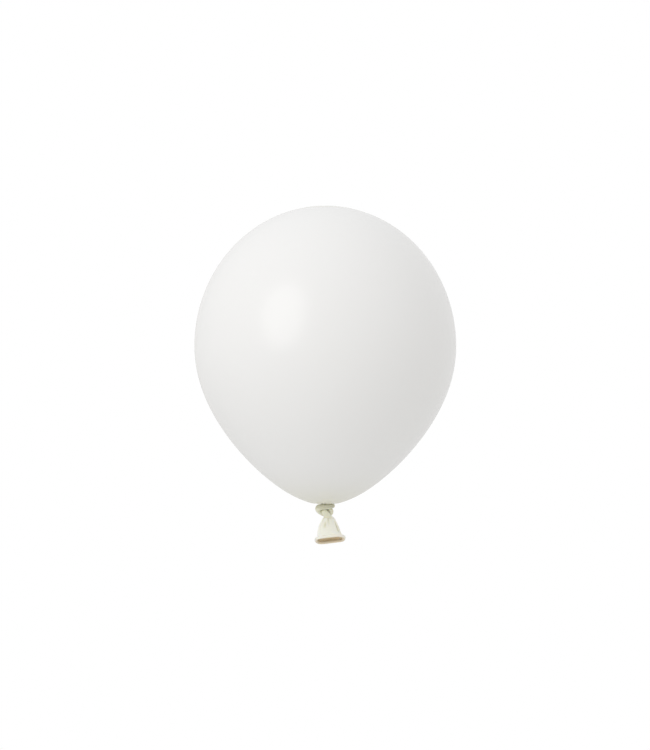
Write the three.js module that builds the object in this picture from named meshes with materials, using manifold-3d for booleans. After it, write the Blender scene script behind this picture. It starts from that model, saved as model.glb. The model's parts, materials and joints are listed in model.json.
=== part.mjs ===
// A round latex party balloon, inflated and tied off with an overhand knot in its own neck.
// Millimetres, +Z up. The origin is on the balloon's axis at the throat, where the film gathers
// into the neck and a ribbon is tied; the crown is straight above it, and -Y is the front.
import * as THREE from 'three';
import { NURBSCurve } from 'three/addons/curves/NURBSCurve.js';
import { mergeVertices } from 'three/addons/utils/BufferGeometryUtils.js';
import Module from 'manifold-3d';

const wasm = await Module();
wasm.setup();

// Driving dimensions
const BODY_RADIUS = 140;
const CROWN_RISE = 150; // equator to crown
const BOTTOM_DROP = 169.8; // equator to where the lower film would close without its dimple
const EQUATOR_Z = 169;
const LOWER_TAPER = 0.28; // how much slimmer than an ellipse the lower half runs in to the neck
const FILM_WALL = 0.3;

const DIMPLE_RADIUS = 15; // the film turns up round the knot inside this radius
const DIMPLE_DEPTH = 4;
const THROAT_HOLE_RADIUS = 4.8;
const THROAT_RADIUS = 4.2;

const STRAND_RADIUS = 2.05; // the neck rolled up into a cord where it is knotted
const GAP = 0.35; // between pieces that touch
const CUT_TOLERANCE = 0.03;

const WAIST = new THREE.Vector3(3.2, -0.4, -15.8); // where the tail leaves the knot, and bends
const WAIST_RADIUS = 4.1;
const TAIL_LEAN = THREE.MathUtils.degToRad(5); // to the right
const TAIL_NOD = THREE.MathUtils.degToRad(26); // mouth towards the front

const SKIRT_START = 3.4; // below the waist, along the tail
const SKIRT_CAVITY_START = 7.2;
const SKIRT_END = 22.6;
const SKIRT_WALL = 0.7;
const SHOULDER_HALF_WIDTH = 7.2;
const SHOULDER_HALF_DEPTH = 3.8;
const SKIRT_HALF_WIDTH = 12.9;
const LIP_HALF_WIDTH = 14.9;
const LIP_HALF_DEPTH = 8;
const LIP_SQUARENESS = 2.6; // exponent of the mouth's outline, 2 being an ellipse
const BEAD_RADIUS = 1.4; // the film rolled up on itself round the mouth

const BODY_SEGMENTS = 48;
const TAIL_SEGMENTS = 32;

// ---- solids ----

function toSolid(geometry) {
  const plain = geometry.clone();
  plain.deleteAttribute('normal');
  plain.deleteAttribute('uv');
  const merged = mergeVertices(plain, 1e-4);
  const corners = Array.from(merged.index.array);
  const kept = [];
  for (let i = 0; i < corners.length; i += 3) {
    const [a, b, c] = corners.slice(i, i + 3);
    if (a !== b && b !== c && c !== a) {
      kept.push(a, b, c);
    }
  }
  const vertProperties = new Float32Array(merged.attributes.position.array);
  const triVerts = new Uint32Array(kept);
  return new wasm.Manifold(new wasm.Mesh({ numProp: 3, vertProperties, triVerts }));
}

function toGeometry(solid) {
  const { vertProperties, triVerts, numProp } = solid.getMesh();
  const geometry = new THREE.BufferGeometry();
  const position = new Float32Array((vertProperties.length / numProp) * 3);
  for (let v = 0; v < position.length / 3; v += 1) {
    position.set(vertProperties.subarray(v * numProp, v * numProp + 3), v * 3);
  }
  geometry.setAttribute('position', new THREE.BufferAttribute(position, 3));
  geometry.setIndex(new THREE.BufferAttribute(new Uint32Array(triVerts), 1));
  geometry.computeVertexNormals();
  return geometry;
}

// The largest separate part of a cut solid; a cut can leave loose slivers and hair-thin triangles.
function mainPart(solid) {
  const parts = solid.simplify(CUT_TOLERANCE).decompose();
  return parts.sort((a, b) => b.volume() - a.volume())[0];
}

function named(name, geometry, color, roughness) {
  const material = new THREE.MeshStandardMaterial({ color, roughness, metalness: 0 });
  const mesh = new THREE.Mesh(geometry, material);
  mesh.name = name;
  return mesh;
}

// A lathe turned so that its axis is Z. The profile is a list of (radius, height).
function turned(profile, segments) {
  const points = profile.map(([radius, height]) => new THREE.Vector2(radius, height));
  return new THREE.LatheGeometry(points, segments).rotateX(Math.PI / 2);
}

function range(count) {
  return Array.from({ length: count + 1 }, (_, i) => i / count);
}

// ---- the envelope: one pear-shaped film, open only at the throat ----

// The radius of the film at a share of the way from the equator down to the closed bottom.
function lowerRadius(share) {
  return BODY_RADIUS * Math.sqrt(1 - share * share) * (1 - LOWER_TAPER * share * share);
}

function dimpleRise(radius) {
  if (radius >= DIMPLE_RADIUS) {
    return 0;
  }
  return DIMPLE_DEPTH * (1 - (radius / DIMPLE_RADIUS) ** 2) ** 2;
}

// One wall of the film from the throat to the crown, moved inwards by inset.
function filmWall(inset) {
  const scale = (BODY_RADIUS - inset) / BODY_RADIUS;
  const lower = range(18)
    .map((t) => Math.sin((1 - t) * Math.PI / 2))
    .map((share) => [lowerRadius(share), share])
    .filter(([radius]) => radius > THROAT_HOLE_RADIUS + 1)
    .map(([radius, share]) => [radius, -BOTTOM_DROP * share + dimpleRise(radius)]);
  const rim = [THROAT_HOLE_RADIUS, -BOTTOM_DROP + dimpleRise(THROAT_HOLE_RADIUS) + 0.2];
  const upper = range(11)
    .slice(1)
    .map((t) => t * Math.PI / 2)
    .map((angle) => [BODY_RADIUS * Math.cos(angle), CROWN_RISE * Math.sin(angle)]);
  upper[upper.length - 1][0] = 0;
  return [rim, ...lower, ...upper].map(([radius, height]) => {
    const inner = radius > BODY_RADIUS / 4 || height > 0 ? radius * scale : radius;
    return [inner, height * scale + EQUATOR_Z];
  });
}

function makeEnvelope() {
  const outside = filmWall(0);
  const inside = filmWall(FILM_WALL);
  return turned([...inside.reverse(), ...outside], BODY_SEGMENTS);
}

// ---- the knot: the rolled neck, laid in an overhand knot ----

// Control points of the neck's centre line from the throat to the waist: down on the right,
// back along the bottom to the left, up and across the front, round behind, then forward
// through the loop and down in front.
const NECK_CONTROLS = [
  [0, 0, -0.8],
  [1.2, 0.1, -1.9],
  [2.3, 0.5, -4.3],
  [6.3, -0.4, -6.9],
  [5.8, 1.0, -11.0],
  [1.5, 2.8, -11.7],
  [-2.6, 2.2, -10.7],
  [-5.7, 0.6, -8.7],
  [-8.0, -1.8, -6.0],
  [-6.3, -4.7, -3.1],
  [-1.8, -5.7, -2.8],
  [2.1, -5.3, -2.7],
  [6.1, -3.7, -2.5],
  [8.1, 0.6, -2.1],
  [5.7, 4.3, -3.2],
  [2.0, 6.2, -4.7],
  [-1.9, 4.5, -5.5],
  [-1.6, -0.2, -5.6],
  [-0.9, -3.7, -9.0],
  [2.4, -3.0, -12.6],
  [2.9, -1.3, -14.7],
  [3.2, -0.4, -15.8],
];
// Where each turn of the knot lies along that line, as shares of its parameter.
const NECK_TURNS = { knot_bight: [0, 0.368], knot_wrap: [0.375, 0.752], knot_tuck: [0.759, 1] };

function makeNeckLine() {
  const degree = 3;
  const inner = NECK_CONTROLS.length - degree;
  const knots = range(inner).flatMap((t) => (t === 0 || t === 1 ? [t, t, t, t] : [t]));
  return new NURBSCurve(degree, knots, NECK_CONTROLS.map((p) => new THREE.Vector4(...p, 1)));
}

class Stretch extends THREE.Curve {
  constructor(line, from, to) {
    super();
    Object.assign(this, { line, from, to });
  }

  getPoint(t) {
    return this.line.getPoint(THREE.MathUtils.lerp(this.from, this.to, t));
  }
}

function makeStrand(path, radius) {
  const section = new THREE.Shape().absarc(0, 0, radius, 0, Math.PI * 2);
  const options = { steps: 18, curveSegments: 5, bevelEnabled: false, extrudePath: path };
  return new THREE.ExtrudeGeometry(section, options);
}

function ball(centre, radius) {
  const geometry = new THREE.SphereGeometry(radius, 16, 10).rotateX(Math.PI / 2);
  return geometry.translate(centre.x, centre.y, centre.z);
}

// Each later turn gives way to the earlier ones, and the two ends to the necks they join.
function makeKnotPieces() {
  const sockets = [
    toSolid(ball(new THREE.Vector3(0, 0, 0), THROAT_RADIUS + GAP)),
    toSolid(ball(WAIST, WAIST_RADIUS + GAP)),
  ];
  const line = makeNeckLine();
  const cutters = [...sockets];
  return Object.entries(NECK_TURNS).map(([name, [from, to]]) => {
    const path = new Stretch(line, from, to);
    const whole = toSolid(makeStrand(path, STRAND_RADIUS));
    const cut = cutters.reduce((solid, cutter) => solid.subtract(cutter), whole);
    cutters.push(toSolid(makeStrand(path, STRAND_RADIUS + GAP)));
    return named(name, toGeometry(mainPart(cut)), 0xcdcbb2, 0.5);
  });
}

// ---- the tail: the end of the neck below the knot, flared out flat to its rolled lip ----

// Half width and half depth of the tail at a distance below the waist.
function tailHalfSizes(down) {
  const share = (down - SKIRT_START) / (SKIRT_END - SKIRT_START);
  const along = THREE.MathUtils.clamp(share, 0, 1);
  const flare = Math.sin(along * Math.PI / 2) ** 0.7;
  const lip = (LIP_HALF_WIDTH - SKIRT_HALF_WIDTH) * along ** 6;
  return [
    THREE.MathUtils.lerp(SHOULDER_HALF_WIDTH, SKIRT_HALF_WIDTH, flare) + lip,
    THREE.MathUtils.lerp(SHOULDER_HALF_DEPTH, LIP_HALF_DEPTH, along),
  ];
}

// A cosine or sine bulged out towards the mouth's squarer outline.
function bulged(value, squareness) {
  return Math.sign(value) * Math.abs(value) ** (2 / squareness);
}

// Pulls a ring lathe, made round a reference radius, out to the tail's flattened outline.
function flatten(geometry, referenceRadius) {
  const position = geometry.attributes.position;
  const point = new THREE.Vector3();
  for (let i = 0; i < position.count; i += 1) {
    point.fromBufferAttribute(position, i);
    const radius = Math.hypot(point.x, point.y);
    if (radius > 1e-6) {
      const [halfWidth, halfDepth] = tailHalfSizes(-point.z);
      const squareness = THREE.MathUtils.lerp(2, LIP_SQUARENESS, Math.min(-point.z / SKIRT_END, 1));
      const offset = radius - referenceRadius;
      point.x = (halfWidth + offset) * bulged(point.x / radius, squareness);
      point.y = (halfDepth + offset) * bulged(point.y / radius, squareness);
      position.setXYZ(i, point.x, point.y, point.z);
    }
  }
  return geometry;
}

function makeSkirt() {
  const reference = 10;
  const outside = range(12).map((t) => [
    reference,
    -THREE.MathUtils.lerp(SKIRT_END, SKIRT_START, t),
  ]);
  const inside = range(9).map((t) => [
    reference - SKIRT_WALL,
    -THREE.MathUtils.lerp(SKIRT_CAVITY_START, SKIRT_END, t),
  ]);
  const top = [0, -SKIRT_START];
  const cavityTop = [0, -SKIRT_CAVITY_START];
  const cup = toSolid(ball(new THREE.Vector3(0, 0, 0), WAIST_RADIUS + GAP));
  const body = flatten(turned([cavityTop, ...inside, ...outside, top], TAIL_SEGMENTS), reference);
  return toGeometry(mainPart(toSolid(body).subtract(cup)));
}

function makeBead() {
  const centreDown = SKIRT_END + GAP + BEAD_RADIUS;
  const profile = range(10)
    .map((t) => t * Math.PI * 2)
    .map((angle) => [
      10 + BEAD_RADIUS * Math.cos(angle),
      -centreDown + BEAD_RADIUS * Math.sin(angle),
    ]);
  profile[profile.length - 1] = profile[0];
  return flatten(turned(profile, TAIL_SEGMENTS), 10);
}

// ---- assembly ----

const balloon = new THREE.Group();
balloon.add(named('envelope', makeEnvelope(), 0xf1f1ef, 0.32));
balloon.add(named('throat_gather', ball(new THREE.Vector3(), THROAT_RADIUS), 0xc4c3aa, 0.5));
makeKnotPieces().forEach((piece) => balloon.add(piece));

balloon.add(named('tail_gather', ball(WAIST, WAIST_RADIUS), 0xd6d5bb, 0.5));

const tail = new THREE.Group();
tail.position.copy(WAIST);
tail.rotation.set(-TAIL_NOD, -TAIL_LEAN, 0, 'YXZ');
tail.add(named('tail_skirt', makeSkirt(), 0xe8e7d2, 0.45));
tail.add(named('rolled_bead', makeBead(), 0xdcd6bd, 0.45));
balloon.add(tail);

export default balloon;
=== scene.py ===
"""A white latex party balloon, blown up and tied off with a knot in its own neck."""

import json
import math

import bpy
import numpy as np
from mathutils import Matrix, Vector


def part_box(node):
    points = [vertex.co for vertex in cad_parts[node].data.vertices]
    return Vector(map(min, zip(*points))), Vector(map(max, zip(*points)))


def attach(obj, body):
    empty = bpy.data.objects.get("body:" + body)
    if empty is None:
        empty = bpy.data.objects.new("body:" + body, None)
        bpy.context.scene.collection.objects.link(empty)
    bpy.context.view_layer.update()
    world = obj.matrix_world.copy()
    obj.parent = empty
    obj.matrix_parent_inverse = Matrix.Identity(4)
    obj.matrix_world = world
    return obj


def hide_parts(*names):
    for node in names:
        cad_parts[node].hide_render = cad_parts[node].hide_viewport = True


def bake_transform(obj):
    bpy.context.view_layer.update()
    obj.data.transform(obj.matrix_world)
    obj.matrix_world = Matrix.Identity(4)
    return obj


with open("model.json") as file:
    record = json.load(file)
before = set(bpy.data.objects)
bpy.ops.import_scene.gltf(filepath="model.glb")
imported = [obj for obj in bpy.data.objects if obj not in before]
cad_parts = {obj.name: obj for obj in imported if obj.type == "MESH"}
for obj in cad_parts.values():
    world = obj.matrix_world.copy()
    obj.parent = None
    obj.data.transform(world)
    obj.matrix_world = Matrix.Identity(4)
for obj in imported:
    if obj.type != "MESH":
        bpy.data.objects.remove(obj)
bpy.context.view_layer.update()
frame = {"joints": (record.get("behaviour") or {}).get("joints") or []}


# ---------------------------------------------------------------- envelope
# The blown-up part of the skin: white natural latex, dipped on a pear-shaped former and
# stretched by the air to about a hundredth of a millimetre. It is round in plan, a little
# taller than wide, and turns up into a dimple with fine puckers where the knot pulls on it.

MM = 0.001
FILM_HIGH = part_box("envelope")[1]
EQUATOR_HEIGHT = 169 * MM
FILM_INPUTS = {
    "Radius": FILM_HIGH.x,
    "Equator Height": EQUATOR_HEIGHT,
    "Crown Rise": FILM_HIGH.z - EQUATOR_HEIGHT,
    "Bottom Drop": 169.8 * MM,
    "Lower Taper": 0.28,
    "Dimple Radius": 15 * MM,
    "Dimple Depth": 4 * MM,
    "Lowest Angle": math.radians(87.35),
    "Pucker Count": 23.0,
    "Pucker Depth": 0.9 * MM,
    "Pucker Reach": 36 * MM,
    "Pucker Fade": 3.2,
    "Pucker Wander": 14.0,
    "Wander Scale": 2.6,
    "Unevenness": 0.5 * MM,
    "Swell Scale": 7.0,
}
FILM_ROWS, FILM_COLUMNS = 190, 200
FILM_WALL = 0.25 * MM
WELD_DISTANCE = 0.02 * MM
FILM_WHITE = (0.90, 0.90, 0.90)
FILM_CREAM = (0.80, 0.79, 0.68)
TALC_WHITE = (0.95, 0.95, 0.93)
LATEX_IOR = 1.52
GLOW_BY_COLOUR = (1.0, 0.85, 0.6)
THROAT_CREAM_FROM, THROAT_CREAM_TO = -2 * MM, 58 * MM
CROWN_PATCH_FROM, CROWN_PATCH_TO, CROWN_PATCH_STRENGTH = -5 * MM, -0.5 * MM, 0.4


def maths(tree, operation, *values):
    """Adds a Math node and returns its output. A value is a socket or a number."""
    node = tree.nodes.new("ShaderNodeMath")
    node.operation = operation
    for socket, value in zip(node.inputs, values):
        if isinstance(value, bpy.types.NodeSocket):
            tree.links.new(value, socket)
        else:
            socket.default_value = value
    return node.outputs[0]


def linked(tree, kind, links=(), **values):
    """Adds a node, links its named inputs to sockets and sets the others, and returns it."""
    node = tree.nodes.new(kind)
    for name, value in values.items():
        setattr(node, name, value)
    for name, value in dict(links).items():
        if isinstance(value, bpy.types.NodeSocket):
            tree.links.new(value, node.inputs[name])
        else:
            node.inputs[name].default_value = value
    return node


def mixed_colour(tree, amount, first, second):
    """Mixes two colours, each a socket or an RGBA value, and returns the mixed socket."""
    mix = linked(tree, "ShaderNodeMix", {0: amount, 6: first, 7: second}, data_type="RGBA")
    return mix.outputs[2]


def film_tree(material):
    """The film as a rule: a grid wrapped to the balloon's outline, puckered at the throat."""
    tree = bpy.data.node_groups.new("balloon film", "GeometryNodeTree")
    for name in FILM_INPUTS:
        tree.interface.new_socket(name, in_out="INPUT", socket_type="NodeSocketFloat")
    tree.interface.new_socket("Geometry", in_out="OUTPUT", socket_type="NodeSocketGeometry")
    size = tree.nodes.new("NodeGroupInput").outputs
    grid = linked(tree, "GeometryNodeMeshGrid", {
        "Size X": 1.0, "Size Y": 1.0, "Vertices X": FILM_COLUMNS + 1, "Vertices Y": FILM_ROWS + 1,
    })
    place = linked(tree, "ShaderNodeSeparateXYZ", {
        "Vector": tree.nodes.new("GeometryNodeInputPosition").outputs[0],
    }).outputs
    # The grid's width goes once round the balloon and its height runs from the crown down.
    around = maths(tree, "MULTIPLY", maths(tree, "ADD", place["X"], 0.5), math.tau)
    left = maths(tree, "SUBTRACT", 0.5, place["Y"])
    down = maths(tree, "SUBTRACT", 1.0, maths(tree, "POWER", left, 2.0))
    sweep = maths(tree, "ADD", size["Lowest Angle"], math.pi / 2)
    angle = maths(tree, "SUBTRACT", math.pi / 2, maths(tree, "MULTIPLY", down, sweep))
    sine, cosine = maths(tree, "SINE", angle), maths(tree, "COSINE", angle)
    below = maths(tree, "LESS_THAN", sine, 0.0)

    # The outline: an ellipse above the equator and a slimmer, longer one below it.
    slimming = maths(tree, "MULTIPLY", size["Lower Taper"], maths(tree, "MULTIPLY", sine, sine))
    taper = maths(tree, "SUBTRACT", 1.0, maths(tree, "MULTIPLY", slimming, below))
    radius = maths(tree, "MULTIPLY", maths(tree, "MULTIPLY", size["Radius"], cosine), taper)
    more = maths(tree, "SUBTRACT", size["Bottom Drop"], size["Crown Rise"])
    reach = maths(tree, "ADD", size["Crown Rise"], maths(tree, "MULTIPLY", more, below))
    height = maths(tree, "ADD", size["Equator Height"], maths(tree, "MULTIPLY", sine, reach))

    # The film turns up into a dimple round the knot.
    share = maths(tree, "DIVIDE", radius, size["Dimple Radius"])
    hollow = maths(tree, "SUBTRACT", 1.0, maths(tree, "MULTIPLY", share, share))
    hollow = maths(tree, "POWER", maths(tree, "MAXIMUM", hollow, 0.0), 2.0)
    dimple = maths(tree, "MULTIPLY", maths(tree, "MULTIPLY", hollow, size["Dimple Depth"]), below)

    # Puckers run out from the throat, unevenly spaced, and fade.
    ring = linked(tree, "ShaderNodeCombineXYZ", {
        "X": maths(tree, "COSINE", around), "Y": maths(tree, "SINE", around),
    })
    wander = linked(tree, "ShaderNodeTexNoise", {
        "Vector": ring.outputs[0], "Scale": size["Wander Scale"], "Detail": 2.0,
    }).outputs["Fac"]
    turn = maths(tree, "MULTIPLY", around, size["Pucker Count"])
    turn = maths(tree, "ADD", turn, maths(tree, "MULTIPLY", wander, size["Pucker Wander"]))
    nearness = maths(tree, "SUBTRACT", 1.0, maths(tree, "DIVIDE", radius, size["Pucker Reach"]))
    nearness = maths(tree, "POWER", maths(tree, "MAXIMUM", nearness, 0.0), size["Pucker Fade"])
    pucker = maths(tree, "MULTIPLY", maths(tree, "SINE", turn), size["Pucker Depth"])
    pucker = maths(tree, "MULTIPLY", maths(tree, "MULTIPLY", pucker, nearness), below)
    lift = maths(tree, "ADD", maths(tree, "ADD", height, dimple), pucker)

    spot = linked(tree, "ShaderNodeCombineXYZ", {
        "X": maths(tree, "MULTIPLY", radius, maths(tree, "COSINE", around)),
        "Y": maths(tree, "MULTIPLY", radius, maths(tree, "SINE", around)),
        "Z": lift,
    }).outputs[0]
    # A hand's breadth of film is never quite even, so it swells a little in and out.
    swell = linked(tree, "ShaderNodeTexNoise", {
        "Vector": spot, "Scale": size["Swell Scale"], "Detail": 0.0,
    })
    swell = maths(tree, "MULTIPLY", maths(tree, "SUBTRACT", swell.outputs["Fac"], 0.5),
                  size["Unevenness"])
    outward = linked(tree, "ShaderNodeVectorMath", {0: spot}, operation="NORMALIZE").outputs[0]
    shift = linked(tree, "ShaderNodeVectorMath", {0: outward, "Scale": swell}, operation="SCALE")

    wrapped = linked(tree, "GeometryNodeSetPosition", {
        "Geometry": grid.outputs["Mesh"], "Position": spot, "Offset": shift.outputs[0],
    })
    welded = linked(tree, "GeometryNodeMergeByDistance", {
        "Geometry": wrapped.outputs[0], "Distance": WELD_DISTANCE,
    })
    smooth = linked(tree, "GeometryNodeSetShadeSmooth", {"Geometry": welded.outputs[0]})
    real = linked(tree, "GeometryNodeRealizeInstances", {"Geometry": smooth.outputs[0]})
    dressed = linked(tree, "GeometryNodeSetMaterial", {
        "Geometry": real.outputs[0], "Material": material,
    })
    tree.links.new(dressed.outputs[0], tree.nodes.new("NodeGroupOutput").inputs[0])
    return tree


def grown(name, tree, inputs, start=None, finishing=()):
    """Runs a Geometry Nodes tree with its inputs, then plain modifiers, and keeps the mesh."""
    seed = bpy.data.objects.new("seed", start or bpy.data.meshes.new("seed"))
    bpy.context.scene.collection.objects.link(seed)
    grower = seed.modifiers.new("grow", "NODES")
    grower.node_group = tree
    for item in tree.interface.items_tree:
        if item.in_out == "INPUT" and item.name in inputs:
            grower[item.identifier] = inputs[item.name]
    for kind, values in finishing:
        modifier = seed.modifiers.new(kind.lower(), kind)
        for key, value in values.items():
            setattr(modifier, key, value)
    graph = bpy.context.evaluated_depsgraph_get()
    mesh = bpy.data.meshes.new_from_object(seed.evaluated_get(graph), depsgraph=graph)
    mesh.name = name
    bpy.data.objects.remove(seed)
    piece = bpy.data.objects.new(name, mesh)
    bpy.context.scene.collection.objects.link(piece)
    return piece


def shader_group(name, inputs, outputs):
    """An empty shader group with named sockets: (name, socket type, default)."""
    group = bpy.data.node_groups.new(name, "ShaderNodeTree")
    for label, kind, default in inputs:
        socket = group.interface.new_socket(label, in_out="INPUT", socket_type=kind)
        socket.default_value = default
    for label, kind in outputs:
        group.interface.new_socket(label, in_out="OUTPUT", socket_type=kind)
    return group, group.nodes.new("NodeGroupInput").outputs, group.nodes.new("NodeGroupOutput")


def latex_tone_group():
    """White where the latex is thin and stretched, cream where it is thick, gently clouded; on the
    neck and tail the amount is painted shade in the folds instead.
    """
    group, given, out = shader_group(
        "latex tone",
        [("Place", "NodeSocketVector", (0, 0, 0)),
         ("Thin Colour", "NodeSocketColor", (1, 1, 1, 1)),
         ("Thick and Shade Colour", "NodeSocketColor", (1, 1, 1, 1)),
         ("Thickness", "NodeSocketFloat", 0.0),
         ("Cloud Scale", "NodeSocketFloat", 20.0),
         ("Cloud Strength", "NodeSocketFloat", 0.1)],
        [("Colour", "NodeSocketColor")],
    )
    clouds = linked(group, "ShaderNodeTexNoise", {
        "Vector": given["Place"], "Scale": given["Cloud Scale"], "Detail": 4.0, "Roughness": 0.55,
    }).outputs["Fac"]
    cloud = maths(group, "MULTIPLY", maths(group, "SUBTRACT", clouds, 0.5), given["Cloud Strength"])
    amount = maths(group, "ADD", given["Thickness"], cloud)
    colour = mixed_colour(group, amount, given["Thin Colour"], given["Thick and Shade Colour"])
    group.links.new(colour, out.inputs["Colour"])
    return group


def talc_group():
    """The dusting of talc that stops a balloon sticking to itself: faint scattered specks."""
    group, given, out = shader_group(
        "talc dusting",
        [("Place", "NodeSocketVector", (0, 0, 0)),
         ("Speck Scale", "NodeSocketFloat", 900.0),
         ("Coverage", "NodeSocketFloat", 0.4)],
        [("Mask", "NodeSocketFloat")],
    )
    specks = linked(group, "ShaderNodeTexNoise", {
        "Vector": given["Place"], "Scale": given["Speck Scale"], "Detail": 2.0, "Roughness": 0.7,
    }).outputs["Fac"]
    drifts = linked(group, "ShaderNodeTexNoise", {
        "Vector": given["Place"], "Scale": maths(group, "MULTIPLY", given["Speck Scale"], 0.06),
        "Detail": 3.0,
    }).outputs["Fac"]
    both = maths(group, "MULTIPLY", specks, drifts)
    level = maths(group, "SUBTRACT", 0.48, maths(group, "MULTIPLY", given["Coverage"], 0.37))
    over = maths(group, "MULTIPLY", maths(group, "SUBTRACT", both, level), 9.0)
    mask = linked(group, "ShaderNodeClamp", {"Value": over}).outputs[0]
    group.links.new(mask, out.inputs["Mask"])
    return group


def skin_relief_group():
    """The height of the skin's surface: a fine orange peel over slower ripples, both faint."""
    group, given, out = shader_group(
        "skin relief",
        [("Place", "NodeSocketVector", (0, 0, 0)),
         ("Grain Scale", "NodeSocketFloat", 600.0),
         ("Ripple Scale", "NodeSocketFloat", 60.0),
         ("Ripple Share", "NodeSocketFloat", 0.5)],
        [("Height", "NodeSocketFloat")],
    )
    grain = linked(group, "ShaderNodeTexNoise", {
        "Vector": given["Place"], "Scale": given["Grain Scale"], "Detail": 3.0,
    }).outputs["Fac"]
    ripple = linked(group, "ShaderNodeTexNoise", {
        "Vector": given["Place"], "Scale": given["Ripple Scale"], "Detail": 2.0,
    }).outputs["Fac"]
    height = linked(group, "ShaderNodeMix", {
        0: given["Ripple Share"], 2: grain, 3: ripple,
    }).outputs[0]
    group.links.new(height, out.inputs["Height"])
    return group


LATEX_TONE, TALC, SKIN_RELIEF = latex_tone_group(), talc_group(), skin_relief_group()


def grouped(tree, group, links):
    """Places a shared group in a material and returns its outputs."""
    node = tree.nodes.new("ShaderNodeGroup")
    node.node_tree = group
    for name, value in links.items():
        if isinstance(value, bpy.types.NodeSocket):
            tree.links.new(value, node.inputs[name])
        else:
            node.inputs[name].default_value = value
    return node.outputs


def rgba(colour):
    return (*colour, 1.0)


def latex_material(name, thin, thick_and_shade_colour, thickness, look):
    """A latex skin. thickness makes a 0 to 1 socket from the tree and its object coordinates: latex
    thickness on the film and the lip, painted shade in the folds of the neck and tail;
    look holds the numbers that differ from one region of the skin to the next."""
    material = bpy.data.materials.new(name)
    material.use_nodes = True
    tree = material.node_tree
    skin = tree.nodes["Principled BSDF"]
    place = tree.nodes.new("ShaderNodeTexCoord").outputs["Object"]
    tone = grouped(tree, LATEX_TONE, {
        "Place": place, "Thin Colour": rgba(thin), "Thick and Shade Colour": rgba(thick_and_shade_colour),
        "Thickness": thickness(tree, place), "Cloud Scale": look["cloud_scale"],
        "Cloud Strength": look["cloud_strength"],
    })["Colour"]
    dust = grouped(tree, TALC, {
        "Place": place, "Speck Scale": look["speck_scale"], "Coverage": look["talc"],
    })["Mask"]
    dusting = maths(tree, "MULTIPLY", dust, look["talc_whitening"])
    colour = mixed_colour(tree, dusting, tone, rgba(TALC_WHITE))
    tree.links.new(colour, skin.inputs["Base Color"])
    rough = maths(tree, "ADD", look["roughness"], maths(tree, "MULTIPLY", dust, look["dust_rough"]))
    tree.links.new(rough, skin.inputs["Roughness"])
    relief = grouped(tree, SKIN_RELIEF, {
        "Place": place, "Grain Scale": look["grain_scale"], "Ripple Scale": look["ripple_scale"],
        "Ripple Share": look["ripple_share"],
    })["Height"]
    bump = linked(tree, "ShaderNodeBump", {
        "Height": relief, "Strength": look["bump"], "Distance": look["bump_height"],
    })
    tree.links.new(bump.outputs[0], skin.inputs["Normal"])
    skin.inputs["IOR"].default_value = LATEX_IOR
    skin.inputs["Subsurface Weight"].default_value = look["glow"]
    skin.inputs["Subsurface Radius"].default_value = GLOW_BY_COLOUR
    skin.inputs["Subsurface Scale"].default_value = look["glow_depth"]
    return material


def thick_at_ends(tree, place):
    """1 at the throat, fading over the first 60 mm of film as it stretches, and a faint thicker
    patch at the crown, where the tip of the former was and the film stretches least."""
    height = linked(tree, "ShaderNodeSeparateXYZ", {"Vector": place}).outputs["Z"]
    fade = linked(tree, "ShaderNodeMapRange", {
        "Value": height, "From Min": THROAT_CREAM_FROM, "From Max": THROAT_CREAM_TO,
        "To Min": 1.0, "To Max": 0.0,
    }).outputs[0]
    crown = linked(tree, "ShaderNodeMapRange", {
        "Value": height, "From Min": FILM_HIGH.z + CROWN_PATCH_FROM,
        "From Max": FILM_HIGH.z + CROWN_PATCH_TO, "To Min": 0.0, "To Max": CROWN_PATCH_STRENGTH,
    }, interpolation_type="SMOOTHSTEP").outputs[0]
    return maths(tree, "ADD", maths(tree, "POWER", fade, 3.0), crown)


film_latex = latex_material("stretched white latex", FILM_WHITE, FILM_CREAM, thick_at_ends, {
    "cloud_scale": 9.0, "cloud_strength": 0.06, "speck_scale": 1400.0, "talc": 0.0,
    "talc_whitening": 0.1, "roughness": 0.25, "dust_rough": 0.08, "grain_scale": 1500.0,
    "ripple_scale": 30.0, "ripple_share": 0.6, "bump": 0.25, "bump_height": 0.03 * MM,
    "glow": 0.0, "glow_depth": 4 * MM,
})
envelope = grown("envelope_film", film_tree(film_latex), FILM_INPUTS, finishing=[
    ("SOLIDIFY", {"thickness": FILM_WALL, "offset": -1.0, "use_rim": True}),
])
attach(envelope, "balloon")
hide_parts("envelope")


# ---------------------------------------------------------------- throat
# The neck of the skin where it leaves the blown-up part: the same film, let down from its
# stretch, so it is thicker and creamier, and drawn into pleats by the knot below it. This is
# where a ribbon is tied.

NECK_CREAM = (0.84, 0.83, 0.68)
# The olive is painted shade, for the pleats' valleys, the pressed turns and the collar under the
# film.
NECK_OLIVE_SHADE = (0.61, 0.60, 0.45)
THROAT_TOP, THROAT_FOOT = 2.6 * MM, -3.4 * MM
THROAT_PLEATS = 13


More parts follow.
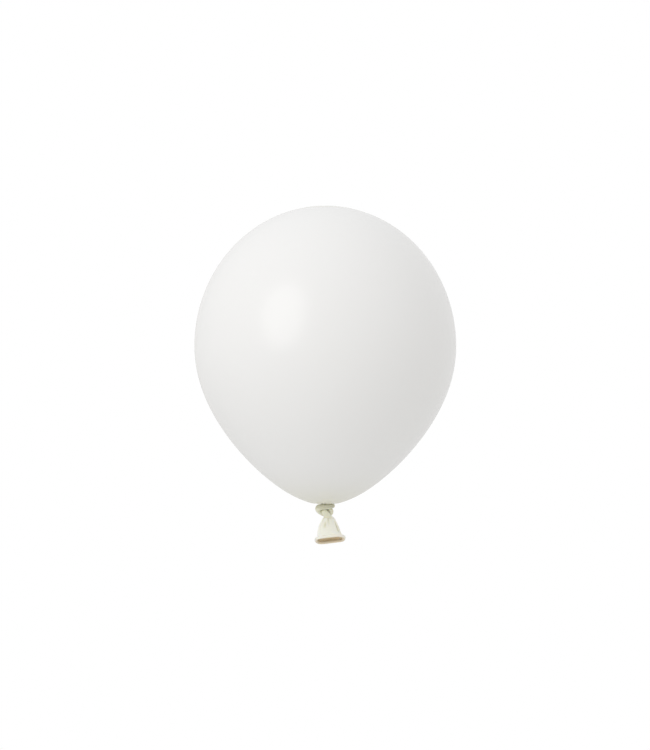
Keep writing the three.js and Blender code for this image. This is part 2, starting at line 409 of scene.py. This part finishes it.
def skin_from_rings(name, rings, marks):
    """A closed skin through rings of points (rows, columns, xyz), with both ends capped. marks
    holds one value per point for each named attribute."""
    rows, columns = rings.shape[:2]
    ends = [rings[0].mean(axis=0), rings[-1].mean(axis=0)]
    points = np.concatenate([rings.reshape(-1, 3), ends])
    row, column = np.meshgrid(np.arange(rows - 1), np.arange(columns), indexing="ij")
    after = (column + 1) % columns
    walls = np.stack([row * columns + column, row * columns + after,
                      (row + 1) * columns + after, (row + 1) * columns + column], axis=-1)
    first, last = rows * columns, rows * columns + 1
    turn = [(i, (i + 1) % columns) for i in range(columns)]
    foot = (rows - 1) * columns
    caps = [(b, a, first) for a, b in turn] + [(foot + a, foot + b, last) for a, b in turn]
    mesh = bpy.data.meshes.new(name)
    mesh.from_pydata(points.tolist(), [], [*walls.reshape(-1, 4).tolist(), *caps])
    volume = sum(p.center.dot(p.normal) * p.area for p in mesh.polygons)
    if volume < 0:
        mesh.flip_normals()
    mesh.shade_smooth()
    for label, values in marks.items():
        values = values.reshape(rows, columns)
        full = np.concatenate([values.ravel(), [values[0].mean(), values[-1].mean()]])
        layer = mesh.attributes.new(label, "FLOAT", "POINT")
        layer.data.foreach_set("value", full.astype(np.float32))
    piece = bpy.data.objects.new(name, mesh)
    bpy.context.scene.collection.objects.link(piece)
    return piece


def crease_shade(tree, place):
    """Painted shade: the mark a skin carries in its folds, and where its turns press together,
    which darkens it towards its shade colour.
    """
    return linked(tree, "ShaderNodeAttribute", attribute_name="painted_crease_shade").outputs["Fac"]


KNOT_LOOK = {
    "cloud_scale": 320.0, "cloud_strength": 0.35, "speck_scale": 2600.0, "talc": 0.45,
    "talc_whitening": 0.35, "roughness": 0.42, "dust_rough": 0.2, "grain_scale": 3800.0,
    "ripple_scale": 900.0, "ripple_share": 0.6, "bump": 0.5, "bump_height": 0.06 * MM,
    "glow": 0.25, "glow_depth": 0.9 * MM,
}
neck_latex = latex_material("gathered neck latex", NECK_CREAM, NECK_OLIVE_SHADE, crease_shade, KNOT_LOOK)


def round_the_neck(rows):
    """A share of the way down and an angle round, for each point of a short length of neck."""
    return np.meshgrid(np.linspace(0, 1, rows), np.linspace(0, math.tau, 128, endpoint=False),
                       indexing="ij")


def ridges(angle, count, wander):
    """Rounded pleats with sharp valleys between them: 0 in a valley, 1 on a crest."""
    bent = angle + wander * np.sin(2 * angle + 1.1) + 0.6 * wander * np.sin(3 * angle + 4.0)
    return np.abs(np.sin(bent * count / 2))


down, around = round_the_neck(60)
pleat = ridges(around + 0.5 * down, THROAT_PLEATS * 2, 0.12)
throat_radius = (5.5 - 1.2 * np.sin(np.clip(down * 1.6, 0, 1) * math.pi / 2) + 0.3 * down) * MM
throat_radius += (pleat - 0.7) * 0.45 * MM
throat_rings = np.stack([
    throat_radius * np.cos(around), throat_radius * np.sin(around),
    THROAT_TOP + (THROAT_FOOT - THROAT_TOP) * down], axis=-1)
# Painted shade: the valleys between the pleats are marked to darken towards olive.
throat = skin_from_rings("throat_pleats", throat_rings, {"painted_crease_shade": (1 - pleat) ** 2})
throat.data.materials.append(neck_latex)
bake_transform(throat)
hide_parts("throat_gather")


# ---------------------------------------------------------------- knot
# An overhand knot tied in the neck itself. The neck rolls up into a soft cord: down on the
# right, back along the bottom to the left, up and across the front, round behind, forward
# through the loop and down in front. Its turns press each other flat where they meet.

NECK_CONTROLS = np.array([
    (0, 0, -0.8), (1.2, 0.1, -1.9), (2.3, 0.5, -4.3), (6.3, -0.4, -6.9), (5.8, 1.0, -11.0),
    (1.5, 2.8, -11.7), (-2.6, 2.2, -10.7), (-5.7, 0.6, -8.7), (-8.0, -1.8, -6.0),
    (-6.3, -4.7, -3.1), (-1.8, -5.7, -2.8), (2.1, -5.3, -2.7), (6.1, -3.7, -2.5),
    (8.1, 0.6, -2.1), (5.7, 4.3, -3.2), (2.0, 6.2, -4.7), (-1.9, 4.5, -5.5),
    (-1.6, -0.2, -5.6), (-0.9, -3.7, -9.0), (2.4, -3.0, -12.6), (2.9, -1.3, -14.7),
    (3.2, -0.4, -15.8)]) * MM
KNOT_TURNS = {"knot_bight": (0.0, 0.37), "knot_wrap": (0.37, 0.755), "knot_tuck": (0.755, 1.0)}
CORD_STEPS = 640
CORD_SIDES = 96
# Along the neck from the throat to the waist: (share, radius in mm, how much wider than deep).
CORD_SIZES = [(0.0, 2.6, 0.0), (0.1, 2.8, 0.0), (0.2, 2.8, 0.0), (0.3, 2.9, 0.0),
              (0.36, 3.3, 0.0), (0.42, 3.6, 0.0), (0.5, 3.2, 0.0), (0.62, 2.9, 0.0),
              (0.75, 2.9, 0.0), (0.84, 3.0, 0.05), (0.9, 3.3, 0.2), (0.95, 3.3, 0.42),
              (1.0, 3.3, 0.52)]
PRESS_SHARPNESS = 7
KNOT_CEILING = -0.2 * MM
OVERLAP_STEPS = 5
UNLIMITED = 1.0
ROLL_TURN, PLEAT_DRIFT = 70, 240
WRINKLE_PITCH, WRINKLE_DEPTH = 1.1 * MM, 0.14 * MM
SHARP_BEND = 350


def spline_points(controls, count):
    """Points along the clamped cubic B-spline of these control points."""
    degree = 3
    inner = len(controls) - degree
    knots = np.concatenate([np.zeros(degree), np.linspace(0, 1, inner + 1), np.ones(degree)])
    points = []
    for t in np.linspace(0, 1, count):
        span = min(max(np.searchsorted(knots, t, "right") - 1, degree), len(controls) - 1)
        kept = [controls[span - degree + j].copy() for j in range(degree + 1)]
        for level in range(1, degree + 1):
            for j in range(degree, level - 1, -1):
                low = knots[span - degree + j]
                share = (t - low) / (knots[span + j - level + 1] - low)
                kept[j] = (1 - share) * kept[j - 1] + share * kept[j]
        points.append(kept[degree])
    return np.array(points)


def carried_frames(points):
    """Two directions across a path at each point, carried along it without twisting."""
    along = np.gradient(points, axis=0)
    along /= np.linalg.norm(along, axis=1)[:, None]
    side = np.cross(along[0], (0, 0, 1))
    sides = []
    for direction in along:
        side = side - direction * (side @ direction)
        side = side / np.linalg.norm(side)
        sides.append(side)
    sides = np.array(sides)
    return sides, np.cross(along, sides)


cord_line = spline_points(NECK_CONTROLS, CORD_STEPS)
cord_side, cord_other = carried_frames(cord_line)
cord_share = np.linspace(0, 1, CORD_STEPS)
cord_run = np.concatenate([[0], np.cumsum(np.linalg.norm(np.diff(cord_line, axis=0), axis=1))])
cord_angle = np.linspace(0, math.tau, CORD_SIDES, endpoint=False)
cord_out = (cord_side[:, None] * np.cos(cord_angle)[None, :, None]
            + cord_other[:, None] * np.sin(cord_angle)[None, :, None])

# Each side of the cord grows out until it meets the halfway plane to another stretch.
room = np.full((CORD_STEPS, CORD_SIDES), UNLIMITED)
for i in range(CORD_STEPS):
    to_others = cord_line[::2] - cord_line[i]
    facing = cord_out[i] @ to_others.T
    square = (to_others ** 2).sum(axis=1)
    reach = np.where(facing > 1e-9, square / np.maximum(2 * facing, 1e-9), UNLIMITED)
    reach[:, square < (0.4 * MM) ** 2] = UNLIMITED
    room[i] = reach.min(axis=1)
# The blown-up film presses the top of the knot flat.
to_film = (KNOT_CEILING - cord_line[:, 2, None]) / np.maximum(cord_out[:, :, 2], 1e-9)
room = np.where(cord_out[:, :, 2] > 1e-3, np.minimum(room, to_film), room)

# Pleats run along the cord and turn slowly round it, fuller in some stretches than in others.
cord_roll = cord_angle[None, :] + (cord_run * ROLL_TURN)[:, None]
fullness = 0.5 + 0.5 * np.sin(2 * cord_roll + (cord_run * PLEAT_DRIFT)[:, None] + 1.0)
cord_pleat = 1 - (1 - ridges(cord_roll, 6, 0.3)) * (0.25 + 0.75 * fullness)
shares, radii, spreads = np.array(CORD_SIZES).T
widening = 1 + np.interp(cord_share, shares, spreads)[:, None] * cord_out[:, :, 0] ** 2
cord_wide = np.interp(cord_share, shares, radii)[:, None] * MM * widening
cord_wide = cord_wide * (1 + 0.12 * (cord_pleat - 0.75))
pressed = (cord_wide ** -PRESS_SHARPNESS + room ** -PRESS_SHARPNESS) ** (-1 / PRESS_SHARPNESS)
# Fine wrinkles cross the inside of each tight bend.
bend = np.gradient(np.gradient(cord_line, axis=0), axis=0) / np.gradient(cord_run)[:, None] ** 2
inside_bend = np.clip((cord_out * bend[:, None]).sum(axis=2) / SHARP_BEND, 0, 1)
wrinkle = np.sin(cord_run * math.tau / WRINKLE_PITCH)[:, None] * np.sin(cord_roll * 2 + 1)
pressed += wrinkle * inside_bend * WRINKLE_DEPTH
# Painted shadow: the collar under the film's overhang is darkened towards olive, fading out right
# against the film.
skin_height = (cord_line[:, 2, None] + cord_out[:, :, 2] * pressed) / MM
painted_film_shadow = np.clip((skin_height + 6.0) / 2.8, 0, 1) ** 0.8 * 0.85
painted_film_shadow = painted_film_shadow * (1 - 0.9 * np.clip((skin_height + 1.7) / 1.2, 0, 1))
# Painted shade: the pleats' valleys and the places where turns press together are darkened as well.
cord_crease_shade = (1 - cord_pleat) ** 2 * 0.6 + (1 - pressed / cord_wide) * 1.1 + painted_film_shadow
cord_crease_shade = np.clip(cord_crease_shade, 0, 1)

# Each turn runs on a few rows under its neighbour, drawn in, so that no seam shows.
for name, (start, end) in KNOT_TURNS.items():
    first, last = int(start * (CORD_STEPS - 1)), int(end * (CORD_STEPS - 1))
    rows = np.arange(max(first - OVERLAP_STEPS, 0), min(last + OVERLAP_STEPS, CORD_STEPS))
    beyond = np.maximum(first - rows, rows - last).clip(0)
    drawn_in = np.where((rows == 0) | (rows == CORD_STEPS - 1), 0, beyond ** 2) * 0.02 * MM
    reach = (pressed[rows] - drawn_in[:, None])[:, :, None]
    turn_rings = cord_line[rows, None] + cord_out[rows] * reach
    knot_turn = skin_from_rings(name + "_skin", turn_rings, {"painted_crease_shade": cord_crease_shade[rows]})
    knot_turn.data.materials.append(neck_latex)
    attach(knot_turn, "knot")
    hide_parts(name)


# ---------------------------------------------------------------- tail gather
# The short waist where the neck comes out of the knot: the same skin, squeezed into pleats by
# the last turn of the knot and held by nothing else. The tail bends here.

sway = next(joint for joint in frame["joints"] if joint["name"] == "tail_sway")
WAIST = np.array(sway["pos_m"])
TAIL_LEAN = math.radians(5)
TAIL_NOD = math.radians(26)
TAIL_TURN = np.array(Matrix.Rotation(-TAIL_LEAN, 3, "Y") @ Matrix.Rotation(-TAIL_NOD, 3, "X"))
GATHER_TOP, GATHER_FOOT = -3.0 * MM, 1.6 * MM
GATHER_PLEATS = 11


def on_tail(across, through, down):
    """Points in the row frame from the tail's own: right, back, and down from the waist."""
    return WAIST + np.stack([across, through, -down], axis=-1) @ TAIL_TURN.T


down, around = round_the_neck(50)
pleat = ridges(around + 0.35 * down, GATHER_PLEATS, 0.2)
gather_radius = (3.0 + 0.4 * down ** 2 + (pleat - 0.7) * 0.5) * MM
gather_drop = GATHER_TOP + (GATHER_FOOT - GATHER_TOP) * down
gather_rings = on_tail(gather_radius * np.cos(around), gather_radius * np.sin(around) * 0.92,
                       gather_drop)
# Painted shade: the valleys between the pleats are marked to darken towards olive.
gather = skin_from_rings("tail_gather_skin", gather_rings, {"painted_crease_shade": (1 - pleat) ** 2})
gather.data.materials.append(neck_latex)
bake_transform(gather)
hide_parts("tail_gather")


# ---------------------------------------------------------------- tail skirt
# The end of the neck below the knot. Nothing stretches it, so it springs back to its dipped
# width, pressed half flat, with folds that run down from the knot and fade towards the lip.

SKIRT_IVORY = (0.975, 0.97, 0.87)
# Painted shade: the skirt darkens towards this colour in its folds, more where a fold is deeper.
SKIRT_FOLD_SHADE = (0.70, 0.69, 0.52)
# Painted shade: the inner wall of the tail is painted this shaded tan.
SKIRT_INSIDE_SHADE = (0.78, 0.66, 0.47)
SKIRT_LENGTH = 23.3 * MM
SKIRT_TOP = -2.2 * MM
SKIRT_WALL = 0.45 * MM
SKIRT_COLUMNS, SKIRT_ROWS = 220, 120
SKIRT_CAVITY_TOP = 3.0 * MM
SKIRT_FULLNESS = 0.6 * MM
FULL_SHADE_FOLD_DEPTH = 1.2 * MM
LIP_WAVER = 0.35 * MM
LIP_SQUARENESS = 2.6
SKIRT_HALF_WIDTH = [(-2.2, 3.4), (-1.4, 4.9), (-0.6, 5.8), (0.6, 6.7), (2, 7.4), (3.5, 8.0),
                    (7, 9.3), (10, 10.3), (13.4, 11.3), (18, 12.4), (20.8, 12.9), (23.3, 14.3)]
SKIRT_HALF_DEPTH = [(-2.2, 2.7), (-1, 3.5), (0.6, 4.2), (3, 4.7), (8, 5.4), (14, 6.6),
                    (20, 7.8), (23.3, 8.7)]
# Each fold: its angle round the tail, its width there, its depth, and where it starts and ends
# below the waist.
SKIRT_FOLDS = [(-88, 8, 1.6, -2.2, 13), (-108, 10, 1.0, 4, 14), (-72, 11, 0.8, -2.2, 5),
               (-135, 12, 1.0, -2.2, 6), (-38, 9, 1.6, 4, 22), (4, 12, 1.3, -2.2, 8),
               (38, 12, 1.4, -2.2, 12), (74, 11, 1.1, -2.2, 7), (108, 13, 1.6, -2.2, 13),
               (146, 12, 1.1, -2.2, 9), (186, 12, 1.2, -2.2, 6)]


def smooth_profile(pairs, at):
    """A smooth run through (distance, size) pairs in millimetres, at distances in metres."""
    where, size = np.array(pairs).T
    fine = np.linspace(where[0], where[-1], 400)
    rough = np.interp(fine, where, size)
    kernel = np.hanning(41)
    padded = np.pad(rough, 20, mode="reflect", reflect_type="odd")
    return np.interp(at / MM, fine, np.convolve(padded, kernel / kernel.sum(), "valid")) * MM


def bulged(value, squareness):
    """A cosine or sine bulged out towards a squarer outline than an ellipse."""
    return np.sign(value) * np.abs(value) ** (2 / squareness)


def wavering(around):
    """How far the mouth's edge strays up and down as it goes round."""
    return LIP_WAVER * np.sin(3 * around + 0.7)


def skirt_rings(drop, inset):
    """Rings of the skirt's film at these distances below the waist, moved inwards by inset, and
    each point's painted shade mark by the depth of its fold.
    """
    around = np.linspace(0, math.tau, SKIRT_COLUMNS, endpoint=False)
    width = smooth_profile(SKIRT_HALF_WIDTH, drop)[:, None]
    depth = smooth_profile(SKIRT_HALF_DEPTH, drop)[:, None]
    dent = np.zeros((len(drop), SKIRT_COLUMNS))
    for angle, spread, size, start, end in SKIRT_FOLDS:
        off = (around[None, :] - math.radians(angle) + math.pi) % math.tau - math.pi
        narrow = math.radians(spread) * (width[0] / width) ** 0.4
        below = drop[:, None] / MM
        fade = np.clip((end - below) / (end - start), 0, 1) ** 1.2
        if start > SKIRT_TOP / MM:
            fade = np.sin(np.clip((below - start) / (end - start), 0, 1) * math.pi) ** 1.5
        dent += size * MM * fade * np.exp(-(off / narrow) ** 2)
    grow = 1 - (dent + inset) / np.sqrt(width * depth)
    squareness = 2 + (LIP_SQUARENESS - 2) * np.clip(drop / SKIRT_LENGTH, 0, 1)[:, None]
    across = width * grow * bulged(np.cos(around), squareness)
    through = depth * grow * bulged(np.sin(around), squareness)
    full_left = np.sin(np.clip(drop / SKIRT_LENGTH, 0, 1) * math.pi)[:, None]
    across = across - SKIRT_FULLNESS * full_left * (1 - np.cos(around))
    waver = wavering(around) * (np.maximum(drop, 0)[:, None] / SKIRT_LENGTH)
    rings = on_tail(across, through, drop[:, None] + waver)
    return rings, np.clip(dent / FULL_SHADE_FOLD_DEPTH, 0, 1)


outer_drop = np.linspace(SKIRT_TOP, SKIRT_LENGTH, SKIRT_ROWS)
inner_drop = np.linspace(SKIRT_LENGTH, SKIRT_CAVITY_TOP, SKIRT_ROWS)
outer, outer_fold_shade = skirt_rings(outer_drop, 0.0)
inner, inner_fold_shade = skirt_rings(inner_drop, SKIRT_WALL)
# The inner wall is marked for its painted shaded tan.
inside_shade_mark = np.concatenate([np.zeros_like(outer_fold_shade), np.ones_like(inner_fold_shade)])
skirt = skin_from_rings("tail_skirt_film", np.concatenate([outer, inner]), {
    "painted_crease_shade": np.concatenate([outer_fold_shade, inner_fold_shade]), "inside": inside_shade_mark,
})


def painted_inside_shade(material, colour):
    """Colours the inside of the tail a shaded tan: painted shade, where little light gets in."""
    tree = material.node_tree
    skin = tree.nodes["Principled BSDF"]
    shown = skin.inputs["Base Color"].links[0].from_socket
    mark = linked(tree, "ShaderNodeAttribute", attribute_name="inside").outputs["Fac"]
    tree.links.new(mixed_colour(tree, mark, shown, rgba(colour)), skin.inputs["Base Color"])


TAIL_LOOK = {**KNOT_LOOK, "cloud_scale": 180.0, "cloud_strength": 0.22, "roughness": 0.36,
             "talc": 0.3, "bump": 0.4, "bump_height": 0.05 * MM}
tail_latex = latex_material("unstretched tail latex", SKIRT_IVORY, SKIRT_FOLD_SHADE, crease_shade, TAIL_LOOK)
painted_inside_shade(tail_latex, SKIRT_INSIDE_SHADE)
skirt.data.materials.append(tail_latex)
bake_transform(skirt)
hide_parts("tail_skirt")


# ---------------------------------------------------------------- rolled lip
# The bead round the mouth: the film rolled up on itself while it was still soft on its former,
# so the ring is solid, a little uneven, and shows the edge of its last turn.

BEAD_INPUTS = {
    "Roll Radius": 1.6 * MM,
    "Film Step": 0.16 * MM,
    "Turn Lines": 5.0,
    "Line Depth": 0.035 * MM,
    "Unevenness": 0.22 * MM,
    "Lump Scale": 170.0,
}
BEAD_STEPS = 220
BEAD_DROP = 0.6 * MM
LIP_HALF_WIDTH, LIP_HALF_DEPTH = 14.9 * MM, 8.8 * MM
BEAD_IVORY = (0.97, 0.955, 0.87)
BEAD_SHADE = (0.80, 0.77, 0.62)
# Painted shade: a shaded tan goes over the lip's inner side, and over the end face that looks out
# of the mouth.
INNER_SIDE_FROM, INNER_SIDE_FADE, INNER_SIDE_SHADE = 0.97, 0.09, 0.75
END_FACE_SLOPE, END_FACE_FADE, END_FACE_SHADE = 0.75, 0.9 * MM, 0.8


def bead_tree(material):
    """Sweeps a roll of film round the mouth's edge."""
    tree = bpy.data.node_groups.new("rolled lip", "GeometryNodeTree")
    tree.interface.new_socket("Geometry", in_out="INPUT", socket_type="NodeSocketGeometry")
    for name in BEAD_INPUTS:
        tree.interface.new_socket(name, in_out="INPUT", socket_type="NodeSocketFloat")
    tree.interface.new_socket("Geometry", in_out="OUTPUT", socket_type="NodeSocketGeometry")
    size = tree.nodes.new("NodeGroupInput").outputs
    edge = linked(tree, "GeometryNodeMeshToCurve", {"Mesh": size["Geometry"]}).outputs[0]
    roll = linked(tree, "GeometryNodeCurvePrimitiveCircle", {
        "Resolution": 44, "Radius": size["Roll Radius"],
    }).outputs[0]
    marked = tree.nodes.new("GeometryNodeCaptureAttribute")
    marked.capture_items.new("FLOAT", "Around")
    tree.links.new(roll, marked.inputs[0])
    factor = tree.nodes.new("GeometryNodeSplineParameter").outputs["Factor"]
    tree.links.new(factor, marked.inputs[1])
    swept = linked(tree, "GeometryNodeCurveToMesh", {
        "Curve": edge, "Profile Curve": marked.outputs[0],
    }).outputs[0]
    around = marked.outputs[1]
    lines = maths(tree, "SINE", maths(tree, "MULTIPLY", maths(
        tree, "MULTIPLY", around, size["Turn Lines"]), math.tau))
    lines = maths(tree, "MULTIPLY", maths(tree, "POWER", maths(tree, "ABSOLUTE", lines), 0.5),
                  size["Line Depth"])
    step = maths(tree, "MULTIPLY", around, size["Film Step"])
    place = tree.nodes.new("GeometryNodeInputPosition").outputs[0]
    lumps = linked(tree, "ShaderNodeTexNoise", {
        "Vector": place, "Scale": size["Lump Scale"], "Detail": 2.0,
    })
    lumps = maths(tree, "MULTIPLY", maths(tree, "SUBTRACT", lumps.outputs["Fac"], 0.5),
                  size["Unevenness"])
    proud = maths(tree, "ADD", maths(tree, "ADD", lines, step), lumps)
    normal = tree.nodes.new("GeometryNodeInputNormal").outputs[0]
    push = linked(tree, "ShaderNodeVectorMath", {0: normal, "Scale": proud}, operation="SCALE")
    shaped = linked(tree, "GeometryNodeSetPosition", {
        "Geometry": swept, "Offset": push.outputs[0],
    })
    smooth = linked(tree, "GeometryNodeSetShadeSmooth", {"Geometry": shaped.outputs[0]})
    real = linked(tree, "GeometryNodeRealizeInstances", {"Geometry": smooth.outputs[0]})
    dressed = linked(tree, "GeometryNodeSetMaterial", {
        "Geometry": real.outputs[0], "Material": material,
    })
    tree.links.new(dressed.outputs[0], tree.nodes.new("NodeGroupOutput").inputs[0])
    return tree


def mouth_edge():
    """A closed loop of edges down the middle of the bead."""
    around = np.linspace(0, math.tau, BEAD_STEPS, endpoint=False)
    drop = SKIRT_LENGTH + BEAD_DROP + wavering(around)
    across = LIP_HALF_WIDTH * bulged(np.cos(around), LIP_SQUARENESS)
    through = LIP_HALF_DEPTH * bulged(np.sin(around), LIP_SQUARENESS)
    points = on_tail(across, through, drop)
    mesh = bpy.data.meshes.new("mouth edge")
    edges = [(i, (i + 1) % BEAD_STEPS) for i in range(BEAD_STEPS)]
    mesh.from_pydata(points.tolist(), edges, [])
    return mesh


def clouded_roll(tree, place):
    """The roll's thickness, which varies a little along and round it."""
    cloud = linked(tree, "ShaderNodeTexNoise", {"Vector": place, "Scale": 260.0})
    return maths(tree, "MULTIPLY", cloud.outputs["Fac"], 0.35)


bead_latex = latex_material("rolled lip latex", BEAD_IVORY, BEAD_SHADE, clouded_roll, TAIL_LOOK)
bead = grown("rolled_lip", bead_tree(bead_latex), BEAD_INPUTS, start=mouth_edge())
bead_places = np.empty(len(bead.data.vertices) * 3)
bead.data.vertices.foreach_get("co", bead_places)
bead_local = (bead_places.reshape(-1, 3) - WAIST) @ TAIL_TURN
span = (np.abs(bead_local[:, 0] / LIP_HALF_WIDTH) ** LIP_SQUARENESS
        + np.abs(bead_local[:, 1] / LIP_HALF_DEPTH) ** LIP_SQUARENESS) ** (1 / LIP_SQUARENESS)
outward = (span - 1) * np.hypot(bead_local[:, 0], bead_local[:, 1])
onward = -bead_local[:, 2] - SKIRT_LENGTH - BEAD_DROP
inner_side = np.clip((INNER_SIDE_FROM - span) / INNER_SIDE_FADE, 0, 1)
end_face = np.clip((END_FACE_SLOPE * onward - outward) / END_FACE_FADE, 0, 1)
tan_shade_share = np.maximum(inner_side * INNER_SIDE_SHADE, end_face * END_FACE_SHADE)
# Painted shade, as tan, on the lip's inner side and end face.
tan_shade_layer = bead.data.attributes.new("inside", "FLOAT", "POINT")
tan_shade_layer.data.foreach_set("value", tan_shade_share.astype(np.float32))
painted_inside_shade(bead_latex, SKIRT_INSIDE_SHADE)
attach(bead, "tail")
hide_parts("rolled_bead")


# ---------------------------------------------------------------- stage
# A pale floor well below the hanging balloon, a big soft light high on the left, and an even
# white room around them.

FLOOR_DROP, FLOOR_HALF_WIDTH = 1.25, 4
FLOOR_GREY = (0.86, 0.86, 0.85)
ROOM_DIM, ROOM_RISE = 0.64, 0.25
ROOM_WARM = (1.0, 0.98, 0.94)
ROOM_WHITE = (1.0, 1.0, 1.0)
floor_mesh = bpy.data.meshes.new("floor")
corners = [(-1, -1), (1, -1), (1, 1), (-1, 1)]
floor_mesh.from_pydata([
    (x * FLOOR_HALF_WIDTH, y * FLOOR_HALF_WIDTH, -FLOOR_DROP) for x, y in corners
], [], [(0, 1, 2, 3)])
floor = bpy.data.objects.new("floor", floor_mesh)
bpy.context.scene.collection.objects.link(floor)
floor_paint = bpy.data.materials.new("pale floor")
floor_paint.use_nodes = True
floor_shader = floor_paint.node_tree.nodes["Principled BSDF"]
floor_shader.inputs["Base Color"].default_value = rgba(FLOOR_GREY)
floor_shader.inputs["Roughness"].default_value = 0.7
floor_mesh.materials.append(floor_paint)

world = bpy.data.worlds.new("white room")
bpy.context.scene.world = world
world.use_nodes = True
air = world.node_tree
air.nodes.clear()
way = linked(air, "ShaderNodeSeparateXYZ", {
    "Vector": air.nodes.new("ShaderNodeTexCoord").outputs["Generated"],
}).outputs
height = maths(air, "ADD", way["Z"], maths(air, "MULTIPLY", way["Y"], 0.4))
share_up = linked(air, "ShaderNodeMapRange", {
    "Value": height, "From Min": -1.0, "From Max": 1.0,
}).outputs[0]
brightness = maths(air, "ADD", ROOM_DIM, maths(air, "MULTIPLY", share_up, ROOM_RISE))
tint = mixed_colour(air, share_up, rgba(ROOM_WARM), rgba(ROOM_WHITE))
room_light = linked(air, "ShaderNodeBackground", {"Color": tint, "Strength": brightness})
backdrop = linked(air, "ShaderNodeBackground", {"Color": rgba(ROOM_WHITE), "Strength": 1.0})
seen = air.nodes.new("ShaderNodeLightPath").outputs["Is Camera Ray"]
mixed_room = linked(air, "ShaderNodeMixShader", {
    0: seen, 1: room_light.outputs[0], 2: backdrop.outputs[0],
})
room_out = air.nodes.new("ShaderNodeOutputWorld")
air.links.new(mixed_room.outputs[0], room_out.inputs["Surface"])
bpy.context.scene.view_settings.view_transform = "Standard"

BODY_CENTRE = Vector((0, 0, EQUATOR_HEIGHT))


def soft_light(name, azimuth, elevation, distance, width, height, watts):
    """An oval softbox facing the balloon's middle; azimuth 0 is the front."""
    lamp = bpy.data.lights.new(name, "AREA")
    lamp.shape = "ELLIPSE"
    lamp.size, lamp.size_y, lamp.energy = width, height, watts
    a, e = math.radians(azimuth), math.radians(elevation)
    away = Vector((math.sin(a) * math.cos(e), -math.cos(a) * math.cos(e), math.sin(e)))
    light = bpy.data.objects.new(name, lamp)
    light.matrix_world = Matrix.LocRotScale(
        BODY_CENTRE + away * distance, away.to_track_quat("Z", "Y"), None)
    bpy.context.scene.collection.objects.link(light)


soft_light("key_softbox", -37, 21, 1.7, 1.15, 1.45, 6.6)

CAMERA_SIDE, CAMERA_DISTANCE, CAMERA_HEIGHT = -0.0003, 2.2, 0.138
FRAME_HEIGHT = 0.805
camera_data = bpy.data.cameras.new("camera")
camera_data.lens = camera_data.sensor_width / 2 / (FRAME_HEIGHT / 2 / CAMERA_DISTANCE)
camera = bpy.data.objects.new("camera", camera_data)
camera.location = (CAMERA_SIDE, -CAMERA_DISTANCE, CAMERA_HEIGHT)
camera.rotation_euler = (math.pi / 2, 0, 0)
bpy.context.scene.collection.objects.link(camera)
bpy.context.scene.camera = camera
